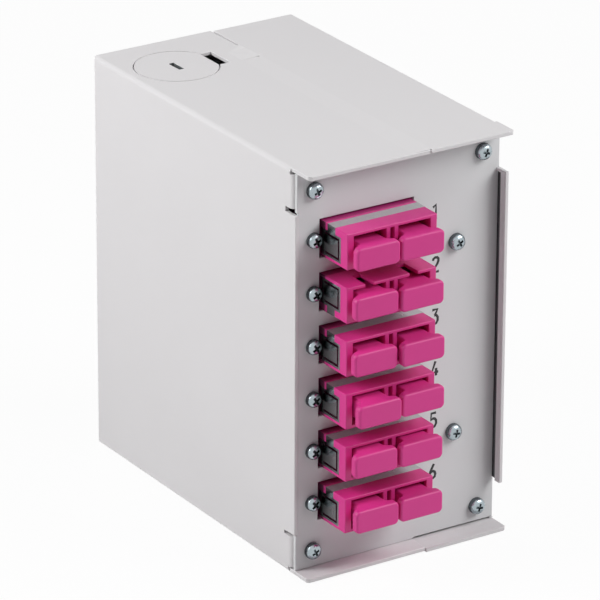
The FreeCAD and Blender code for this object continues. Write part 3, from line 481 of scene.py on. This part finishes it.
def cross_recess(span, depth, top):
    """The punch for a cross recess: two tapered blades round a blunt point."""
    bpy.ops.object.select_all(action="DESELECT")
    bpy.ops.mesh.primitive_cylinder_add(vertices=PUNCH_SIDES, radius=POINT_RADIUS * span,
                                        depth=depth + PUNCH_ROOM,
                                        location=(0, 0, top - (depth - PUNCH_ROOM) / 2))
    punch = bpy.context.object
    bpy.ops.object.transform_apply(location=True, rotation=False, scale=False)
    taper_low_end(POINT_TAPER)
    for turn in (0, 90):
        bpy.ops.object.select_all(action="DESELECT")
        bpy.ops.mesh.primitive_cube_add(size=1, location=(0, 0, top - (BLADE_DEPTH * depth - PUNCH_ROOM) / 2),
                                        rotation=(0, 0, math.radians(turn)),
                                        scale=(span, BLADE_WIDTH * span, BLADE_DEPTH * depth + PUNCH_ROOM))
        blade = bpy.context.object
        bpy.ops.object.transform_apply()
        taper_low_end(BLADE_TAPER)
        combine(punch, blade, "UNION")
    return punch


def pan_head_screw(name, head, shank, length, recess=0.64, recess_polish_and_shade=0.5):
    """One pan-head screw with its seat at the origin, its head up and its shank down."""
    bpy.ops.object.select_all(action="DESELECT")
    bpy.ops.mesh.primitive_cylinder_add(vertices=HEAD_SIDES, radius=head / 2, depth=SKIRT,
                                        location=(0, 0, SKIRT / 2))
    screw = bpy.context.object
    screw.name = name
    bpy.ops.object.transform_apply(location=True, rotation=False, scale=False)
    bpy.ops.object.mode_set(mode="EDIT")
    pick_faces(lambda face: face.normal.z > FACING)
    for rise, spread in CROWN_RINGS:
        bpy.ops.mesh.extrude_region_move(TRANSFORM_OT_translate={"value": (0, 0, rise * MM)})
        bpy.ops.transform.resize(value=(spread, spread, 1))
    pick_faces(lambda face: face.normal.z < -FACING)
    bpy.ops.mesh.inset(thickness=(head - shank) / 2)
    bpy.ops.mesh.extrude_region_move(TRANSFORM_OT_translate={"value": (0, 0, TIP - length)})
    bpy.ops.mesh.extrude_region_move(TRANSFORM_OT_translate={"value": (0, 0, -TIP)})
    bpy.ops.transform.resize(value=(TIP_TAPER, TIP_TAPER, 1))
    bpy.ops.object.mode_set(mode="OBJECT")
    combine(screw, cross_recess(recess * head, RECESS_DEPTH, HEAD_TALL), "DIFFERENCE")
    clear_slivers(screw)
    smooth_folds(screw)
    mark_polish_and_shade(screw, head, HEAD_TALL, recess_polish_and_shade)
    return screw


def flush_screw(name, head, shank, length):
    """One countersunk screw with the flat of its head at the origin and its shank down."""
    bpy.ops.object.select_all(action="DESELECT")
    bpy.ops.mesh.primitive_cylinder_add(vertices=HEAD_SIDES, radius=head / 2, depth=SUNK_RIM,
                                        location=(0, 0, -SUNK_RIM / 2))
    screw = bpy.context.object
    screw.name = name
    bpy.ops.object.transform_apply(location=True, rotation=False, scale=False)
    bpy.ops.object.mode_set(mode="EDIT")
    pick_faces(lambda face: face.normal.z < -FACING)
    bpy.ops.mesh.extrude_region_move(TRANSFORM_OT_translate={"value": (0, 0, -SUNK_CONE)})
    bpy.ops.transform.resize(value=(shank / head, shank / head, 1))
    bpy.ops.mesh.extrude_region_move(TRANSFORM_OT_translate={"value": (0, 0, SUNK_RIM + SUNK_CONE - length)})
    bpy.ops.object.mode_set(mode="OBJECT")
    combine(screw, cross_recess(SUNK_RECESS * head, SUNK_RECESS_DEPTH, 0), "DIFFERENCE")
    clear_slivers(screw)
    smooth_folds(screw)
    mark_polish_and_shade(screw, head, 0, SUNK_POLISH_AND_SHADE)
    return screw


def mark_polish_and_shade(screw, head, top, recess_polish_and_shade):
    """The crown is bright from tumbling, while the recess and the skirt keep a dark film deepened by painted
    shade.
    """
    polish_and_shade = screw.data.attributes.new("polish_and_shade", "FLOAT", "FACE")
    for face, value in zip(screw.data.polygons, polish_and_shade.data):
        out = math.hypot(face.center.x, face.center.y) / (head / 2)
        in_blade = out < 0.75 and face.center.z < top - 0.2 * MM and face.normal.z < 0.7
        in_point = out < 0.4 and face.center.z < top - 0.3 * MM
        on_skirt = out > 0.93 and face.center.z < top - 0.8 * MM
        value.value = recess_polish_and_shade if in_blade or in_point else SKIRT_POLISH_AND_SHADE if on_skirt else 1


def set_screws(pattern, name, places, aim):
    """Copies of one screw at their places, each with its head towards aim and its own turn."""
    upright = Vector((0, 0, 1)).rotation_difference(Vector(aim)).to_matrix().to_4x4()
    copies = []
    for i, place in enumerate(places):
        screw = bpy.data.objects.new(name, pattern.data.copy())
        bpy.context.scene.collection.objects.link(screw)
        turn = Matrix.Rotation(math.radians(FIRST_TURN + NEXT_TURN * i), 4, "Z")
        screw.data.transform(Matrix.Translation(place) @ upright @ turn)
        copies.append(screw)
    take_up(copies[0])
    for screw in copies:
        screw.select_set(True)
    bpy.ops.object.join()
    bpy.data.objects.remove(pattern)
    fit_piece(bpy.context.object, zinc, "box", "zinc_screws", name)
    bpy.context.object.name = name + "_finished"


FIRST_TURN = 23
NEXT_TURN = 47
# The dark tone of a film, deepened to paint the shade in the recesses and on the skirts
DARK_FILM_AND_SHADE = (0.035, 0.037, 0.04)
zinc = make_finish("bright_zinc", (0.31, 0.37, 0.40), (0.47, 0.53, 0.56), (0.2, 0.34),
                   fine=5000, broad=700, bump=0.00001, metallic=1.0)
nodes, links = zinc.node_tree.nodes, zinc.node_tree.links
polish_and_shade = nodes.new("ShaderNodeAttribute")
polish_and_shade.attribute_name = "polish_and_shade"
film_and_shade = nodes.new("ShaderNodeMix")
film_and_shade.data_type = "RGBA"
film_and_shade.inputs["A"].default_value = (*DARK_FILM_AND_SHADE, 1)
links.new(polish_and_shade.outputs["Fac"], film_and_shade.inputs["Factor"])
links.new(nodes["Mix"].outputs["Result"], film_and_shade.inputs["B"])
links.new(film_and_shade.outputs["Result"], nodes["Principled BSDF"].inputs["Base Color"])
TOWARDS_FRONT = (0, -1, 0)
TOWARDS_BACK = (0, 1, 0)
TOWARDS_RIGHT = (1, 0, 0)
panel_places = [(x * MM, PANEL_FACE, z * MM) for x, z in
                ((-24.25, 100.35), (24.35, 100.35), (-24.25, 5.75), (24.35, 5.75),
                 (16.95, 78.35), (16.95, 27.75))]
panel_screw = pan_head_screw("panel_screw", head=4.3 * MM, shank=2.5 * MM, length=5 * MM)
set_screws(panel_screw, "panel_screws", panel_places, TOWARDS_FRONT)
adapter_places = [(x * MM, PANEL_FACE, row_height) for row_height in ROW_HEIGHTS for x in (-24.35, 6.25)]
# The adapter screws' recesses get deeper painted shade
adapter_screw = pan_head_screw("adapter_screw", head=3.9 * MM, shank=1.9 * MM, length=4 * MM,
                               recess=0.8, recess_polish_and_shade=0.05)
set_screws(adapter_screw, "adapter_screws", adapter_places, TOWARDS_FRONT)
rail_places = [(x * MM, 53 * MM, 57.05 * MM) for x in (-10.5, 10.5)]
rail_screw = pan_head_screw("rail_screw", head=4.6 * MM, shank=2.5 * MM, length=7.5 * MM)
set_screws(rail_screw, "din_clip_screws", rail_places, TOWARDS_BACK)
tray_places = [(15.2 * MM, -2 * MM, (MIDDLE_HEIGHT + rise) * MM) for rise in (24, -24)]
tray_screw = pan_head_screw("tray_screw", head=4.6 * MM, shank=2.5 * MM, length=3.5 * MM)
set_screws(tray_screw, "tray_screws", tray_places, TOWARDS_RIGHT)
shell_places = [(29.6 * MM, 43.5 * MM, (MIDDLE_HEIGHT + rise) * MM) for rise in (25.3, -25.3)]
shell_screw = flush_screw("shell_screw", head=4.4 * MM, shank=2.5 * MM, length=5 * MM)
set_screws(shell_screw, "shell_screws", shell_places, TOWARDS_RIGHT)


# Duplex adapters: magenta moulded plastic in two halves, with the sleeve holders shut between them.
# A clip of bright spring steel lies in a bed round the front half and snaps behind the panel.
MOULDED_GRAIN = {"fine": 4000, "broad": 120, "bump": 0.00001}
adapter_plastic = make_finish("magenta_adapter", (0.67, 0.030, 0.255), (0.72, 0.036, 0.28), (0.36, 0.46),
                              **MOULDED_GRAIN)
holder_plastic = make_finish("white_holder", (0.70, 0.70, 0.67), (0.78, 0.78, 0.75), (0.4, 0.5),
                             **MOULDED_GRAIN)
spring_steel = make_finish("spring_steel", (0.60, 0.62, 0.62), (0.72, 0.73, 0.74), (0.18, 0.28),
                           fine=3000, broad=300, bump=0.00001, metallic=1.0)
# A dark copy of the magenta that paints the shade in the pockets behind the clip's tongues
pocket_painted_shade = make_finish("magenta_pocket_painted_shade", (0.07, 0.006, 0.03), (0.10, 0.008, 0.04), (0.5, 0.6),
                             **MOULDED_GRAIN)
ADAPTER_FRONT = -56 * MM
FRONT_ROUND = 0.22 * MM
# Where the pockets behind the clip's tongues start and end, across and along, in millimetres
TONGUE_POCKETS = (((-21.4, -53), (-20, -45.5)), ((1.9, -53), (3.3, -45.5)))


def add_shade_group():
    """A mask for painted shade in the band where a piece passes through the panel, deepest on its sides."""
    group = bpy.data.node_groups.new("panel_shade", "ShaderNodeTree")
    for socket in ("Full", "Faded", "Top Depth", "Side Depth"):
        group.interface.new_socket(socket, in_out="INPUT", socket_type="NodeSocketFloat")
    group.interface.new_socket("Shade", in_out="OUTPUT", socket_type="NodeSocketFloat")
    nodes, links = group.nodes, group.links
    inputs = nodes.new("NodeGroupInput")
    outputs = nodes.new("NodeGroupOutput")
    place = nodes.new("ShaderNodeTexCoord")
    parts = nodes.new("ShaderNodeSeparateXYZ")
    links.new(place.outputs["Object"], parts.inputs[0])
    offset = nodes.new("ShaderNodeMath")
    offset.operation = "SUBTRACT"
    offset.inputs[1].default_value = PANEL_FACE
    links.new(parts.outputs["Y"], offset.inputs[0])
    distance = nodes.new("ShaderNodeMath")
    distance.operation = "ABSOLUTE"
    links.new(offset.outputs[0], distance.inputs[0])
    fade = nodes.new("ShaderNodeMapRange")
    fade.inputs["To Min"].default_value = 1
    fade.inputs["To Max"].default_value = 0
    links.new(inputs.outputs["Full"], fade.inputs["From Min"])
    links.new(inputs.outputs["Faded"], fade.inputs["From Max"])
    links.new(distance.outputs[0], fade.inputs["Value"])
    facing = nodes.new("ShaderNodeSeparateXYZ")
    links.new(place.outputs["Normal"], facing.inputs[0])
    sideways = nodes.new("ShaderNodeMath")
    sideways.operation = "ABSOLUTE"
    links.new(facing.outputs["X"], sideways.inputs[0])
    depth = nodes.new("ShaderNodeMapRange")
    links.new(inputs.outputs["Top Depth"], depth.inputs["To Min"])
    links.new(inputs.outputs["Side Depth"], depth.inputs["To Max"])
    links.new(sideways.outputs[0], depth.inputs["Value"])
    share = nodes.new("ShaderNodeMath")
    share.operation = "MULTIPLY"
    links.new(fade.outputs["Result"], share.inputs[0])
    links.new(depth.outputs["Result"], share.inputs[1])
    links.new(share.outputs[0], outputs.inputs["Shade"])
    return group


def shade_by_panel(finish, dark, full, faded, top_depth, side_depth):
    """Paints shade into a finish where the piece passes through the panel."""
    nodes, links = finish.node_tree.nodes, finish.node_tree.links
    band = nodes.new("ShaderNodeGroup")
    band.node_tree = panel_shade
    band.inputs["Full"].default_value = full
    band.inputs["Faded"].default_value = faded
    band.inputs["Top Depth"].default_value = top_depth
    band.inputs["Side Depth"].default_value = side_depth
    shaded = nodes.new("ShaderNodeMix")
    shaded.data_type = "RGBA"
    shaded.inputs["B"].default_value = (*dark, 1)
    links.new(band.outputs["Shade"], shaded.inputs["Factor"])
    links.new(nodes["Mix"].outputs["Result"], shaded.inputs["A"])
    links.new(shaded.outputs["Result"], nodes["Principled BSDF"].inputs["Base Color"])


panel_shade = add_shade_group()
# Painted shade on the adapters and on the sides of their clips next to the panel
shade_by_panel(adapter_plastic, (0.03, 0.01, 0.02), full=1.2 * MM, faded=1.9 * MM,
               top_depth=0.5, side_depth=0.9)
shade_by_panel(spring_steel, (0.05, 0.065, 0.062), full=1.3 * MM, faded=10 * MM,
               top_depth=0, side_depth=0.9)


def meets_front_face(edge):
    return is_sharp(edge) and any(abs(point.co.y - ADAPTER_FRONT) < SLIVER for point in edge.verts)


def paint_node(node, finish):
    """Gives a finish to a piece that keeps the part's own shape."""
    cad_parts[node].data.materials.clear()
    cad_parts[node].data.materials.append(finish)


for row in ROWS:
    front = f"adapter_front_{row}"
    moulding = clean_copy(front)
    bpy.ops.object.mode_set(mode="EDIT")
    pick_edges(meets_front_face)
    bpy.ops.mesh.bevel(offset=FRONT_ROUND, segments=3, clamp_overlap=False, loop_slide=False)
    bpy.ops.object.mode_set(mode="OBJECT")
    smooth_folds(moulding)
    fit_piece(moulding, adapter_plastic, "box", "adapter_plastic", front)
    # The pockets behind the clip's tongues get painted shade
    moulding.data.materials.append(pocket_painted_shade)
    for face in moulding.data.polygons:
        if any(lies_in(face.center, *pocket) for pocket in TONGUE_POCKETS):
            face.material_index = 1
    paint_node(f"adapter_rear_{row}", adapter_plastic)
    paint_node(f"sleeve_holders_{row}", holder_plastic)
    paint_node(f"adapter_clip_{row}", spring_steel)


# Dust caps: softer magenta plastic, one in each port. A flat grip plate with round corners stands
# off the adapter on a neck that flares into it, and a plug behind the neck fills the port.
cap_plastic = make_finish("magenta_cap", (0.64, 0.030, 0.245), (0.69, 0.035, 0.265), (0.44, 0.56),
                          fine=3000, broad=90, bump=0.00001)
CAP_WIDTH = 12.4 * MM
CAP_TALL = 6 * MM
CAP_FRONT = 15 * MM
CAP_HIGH = 2 * MM
PLATE_BACK = 13.35 * MM
CORNER_ROUND = 1.3 * MM
FACE_ROUND = 0.65 * MM
# Distance from the panel in millimetres, then the neck's width and height as shares of the plate's
NECK_RINGS = ((13.15, 0.992, 0.998), (13.03, 0.965, 0.99), (12.93, 0.905, 0.97),
              (12.8, 0.84, 0.95), (12.55, 0.768, 0.928), (12.2, 0.715, 0.91),
              (11.7, 0.682, 0.902), (11.0, 0.67, 0.9), (6.4, 0.67, 0.9))
bpy.ops.object.select_all(action="DESELECT")
bpy.ops.mesh.primitive_cube_add(size=1, location=(0, -(CAP_FRONT + PLATE_BACK) / 2, CAP_HIGH - CAP_TALL / 2),
                                scale=(CAP_WIDTH, CAP_FRONT - PLATE_BACK, CAP_TALL))
cap_pattern = bpy.context.object
bpy.ops.object.transform_apply()
bpy.ops.object.mode_set(mode="EDIT")
pick_edges(lambda edge: abs(edge.verts[0].co.y - edge.verts[1].co.y) > NEAR)
bpy.ops.mesh.bevel(offset=CORNER_ROUND, segments=6)
pick_faces(lambda face: face.normal.y > FACING)
ring_back, ring_wide, ring_tall = PLATE_BACK, 1, 1
for back, wide, tall in NECK_RINGS:
    bpy.ops.mesh.extrude_region_move(TRANSFORM_OT_translate={"value": (0, ring_back - back * MM, 0)})
    bpy.ops.transform.resize(value=(wide / ring_wide, 1, tall / ring_tall), center_override=(0, 0, CAP_HIGH))
    ring_back, ring_wide, ring_tall = back * MM, wide, tall
pick_edges(lambda edge: all(abs(point.co.y + CAP_FRONT) < SLIVER for point in edge.verts))
bpy.ops.mesh.bevel(offset=FACE_ROUND, segments=4)
bpy.ops.object.mode_set(mode="OBJECT")
smooth_folds(cap_pattern)
for row in ROWS:
    for side in ("left", "right"):
        node = f"dust_cap_{row}_{side}"
        low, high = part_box(node)
        cap = bpy.data.objects.new(node + "_finished", cap_pattern.data.copy())
        bpy.context.scene.collection.objects.link(cap)
        cap.data.transform(Matrix.Translation(((low.x + high.x) / 2, low.y + CAP_FRONT, high.z - CAP_HIGH)))
        fit_piece(cap, cap_plastic, node, "cap_plastic", node)
bpy.data.objects.remove(cap_pattern)


# Splice store inside: a galvanised bracket behind the panel, a moulded tray and the comb that holds
# the splices. None of it shows while the case is shut.
galvanised = make_finish("galvanised_sheet", (0.36, 0.37, 0.38), (0.56, 0.57, 0.58), (0.3, 0.5),
                         fine=2000, broad=160, bump=0.00002, metallic=1.0)
tray_plastic = make_finish("tray_plastic", (0.70, 0.70, 0.68), (0.76, 0.76, 0.74), (0.45, 0.55),
                           fine=3000, broad=60, bump=0.00002)
paint_node("tray_bracket", galvanised)
paint_node("splice_tray", tray_plastic)
paint_node("splice_comb", tray_plastic)


# Rail clip on the back: black glass-filled plastic, screwed on through its base. The latch slides in
# a channel below and a flat spring pushes it up behind the rail's edge.
def softened_copy(node, radius):
    """The part's own shape with its sharp edges rounded, as a moulding has them."""
    piece = clean_copy(node)
    bevel = piece.modifiers.new("edges", "BEVEL")
    bevel.width = radius
    bevel.segments = 3
    bevel.limit_method = "ANGLE"
    bevel.angle_limit = SMOOTH
    bevel.use_clamp_overlap = False
    bevel.loop_slide = False
    bpy.ops.object.modifier_apply(modifier="edges")
    smooth_folds(piece)
    return piece


clip_plastic = make_finish("black_clip_plastic", (0.018, 0.018, 0.019), (0.032, 0.032, 0.033), (0.42, 0.6),
                           fine=2500, broad=150, bump=0.00003)
clip_body = softened_copy("din_clip_body", radius=0.3 * MM)
fit_piece(clip_body, clip_plastic, "box", "clip_plastic", "din_clip_body")
clip_latch = softened_copy("din_clip_latch", radius=0.2 * MM)
fit_piece(clip_latch, clip_plastic, "rail_latch", "clip_plastic", "din_clip_latch")
paint_node("din_clip_spring", spring_steel)


# Studio: a pale floor and a white room. Soft boxes stand high to the left, to the right in front and
# behind the box, and the camera stands far off to the left in front with a long lens.
def white_to_camera(nodes, links):
    """One for rays from the camera, from a mirror and through glass, and nought for light."""
    rays = nodes.new("ShaderNodeLightPath")
    glossy = nodes.new("ShaderNodeMath")
    glossy.operation = "MAXIMUM"
    links.new(rays.outputs["Is Camera Ray"], glossy.inputs[0])
    links.new(rays.outputs["Is Glossy Ray"], glossy.inputs[1])
    clear = nodes.new("ShaderNodeMath")
    clear.operation = "MAXIMUM"
    links.new(glossy.outputs[0], clear.inputs[0])
    links.new(rays.outputs["Is Transmission Ray"], clear.inputs[1])
    return clear.outputs[0]


def add_soft_box(name, place, aim, long, wide, power):
    """A soft lamp at a place, turned towards its aim."""
    lamp = bpy.data.lights.new(name, "AREA")
    lamp.shape = "RECTANGLE"
    lamp.size = long
    lamp.size_y = wide
    lamp.energy = power
    box = bpy.data.objects.new(name, lamp)
    box.location = place
    box.rotation_euler = (Vector(aim) - Vector(place)).to_track_quat("-Z", "Y").to_euler()
    bpy.context.scene.collection.objects.link(box)


ROOM_LIGHT = 0.06
FLOOR_SIZE = 4
FLOOR_DROP = 0.2 * MM
FLOOR_GLOW = 0.95
room = bpy.data.worlds.new("white_room")
bpy.context.scene.world = room
room.use_nodes = True
nodes, links = room.node_tree.nodes, room.node_tree.links
nodes.clear()
seen = nodes.new("ShaderNodeBackground")
light = nodes.new("ShaderNodeBackground")
light.inputs["Color"].default_value = (0.98, 0.985, 1, 1)
light.inputs["Strength"].default_value = ROOM_LIGHT
choice = nodes.new("ShaderNodeMixShader")
out = nodes.new("ShaderNodeOutputWorld")
seen.inputs["Color"].default_value = (1, 1, 1, 1)
links.new(white_to_camera(nodes, links), choice.inputs[0])
links.new(light.outputs[0], choice.inputs[1])
links.new(seen.outputs[0], choice.inputs[2])
links.new(choice.outputs[0], out.inputs["Surface"])

bpy.ops.object.select_all(action="DESELECT")
bpy.ops.mesh.primitive_plane_add(size=FLOOR_SIZE, location=(0, 0, -FLOOR_DROP))
floor = bpy.context.object
floor.name = "studio_floor"
pale = bpy.data.materials.new("pale_floor")
pale.use_nodes = True
nodes, links = pale.node_tree.nodes, pale.node_tree.links
paper = nodes["Principled BSDF"]
paper.inputs["Base Color"].default_value = (0.8, 0.8, 0.8, 1)
paper.inputs["Roughness"].default_value = 0.9
glow = nodes.new("ShaderNodeEmission")
glow.inputs["Color"].default_value = (1, 1, 1, 1)
glow_share = nodes.new("ShaderNodeMath")
glow_share.operation = "MULTIPLY"
glow_share.inputs[1].default_value = FLOOR_GLOW
surface = nodes.new("ShaderNodeMixShader")
links.new(white_to_camera(nodes, links), glow_share.inputs[0])
links.new(glow_share.outputs[0], surface.inputs[0])
links.new(paper.outputs[0], surface.inputs[1])
links.new(glow.outputs[0], surface.inputs[2])
links.new(surface.outputs[0], nodes["Material Output"].inputs["Surface"])
floor.data.materials.append(pale)

add_soft_box("left_soft_box", (-0.50, 0.14, 0.40), (-0.03, 0, 0.06), long=0.3, wide=0.3, power=2.85)
add_soft_box("right_soft_box", (0.42, -0.41, 0.50), (0, -0.045, 0.05), long=0.5, wide=0.4, power=4.2)
add_soft_box("back_soft_box", (0.20, 0.75, 0.35), (0, 0.05, 0.05), long=0.4, wide=0.4, power=0.8)

lens = bpy.data.cameras.new("camera")
lens.sensor_width = 36
lens.lens = 312.05
lens.clip_start = 0.05
lens.clip_end = 20
camera = bpy.data.objects.new("camera", lens)
bpy.context.scene.collection.objects.link(camera)
azimuth, elevation, roll = math.radians(-32.969), math.radians(22.819), math.radians(-0.292)
backward = Vector((math.sin(azimuth) * math.cos(elevation), -math.cos(azimuth) * math.cos(elevation),
                   math.sin(elevation)))
rightward = Vector((0, 0, 1)).cross(backward).normalized()
upward = backward.cross(rightward)
turned_right = math.cos(roll) * rightward - math.sin(roll) * upward
turned_up = math.sin(roll) * rightward + math.cos(roll) * upward
stand = Matrix((turned_right, turned_up, backward)).transposed().to_4x4()
stand.translation = Vector((-651.51, -1006.189, 554.954)) * MM
camera.matrix_world = stand
bpy.context.scene.camera = camera
bpy.context.scene.view_settings.view_transform = "Standard"
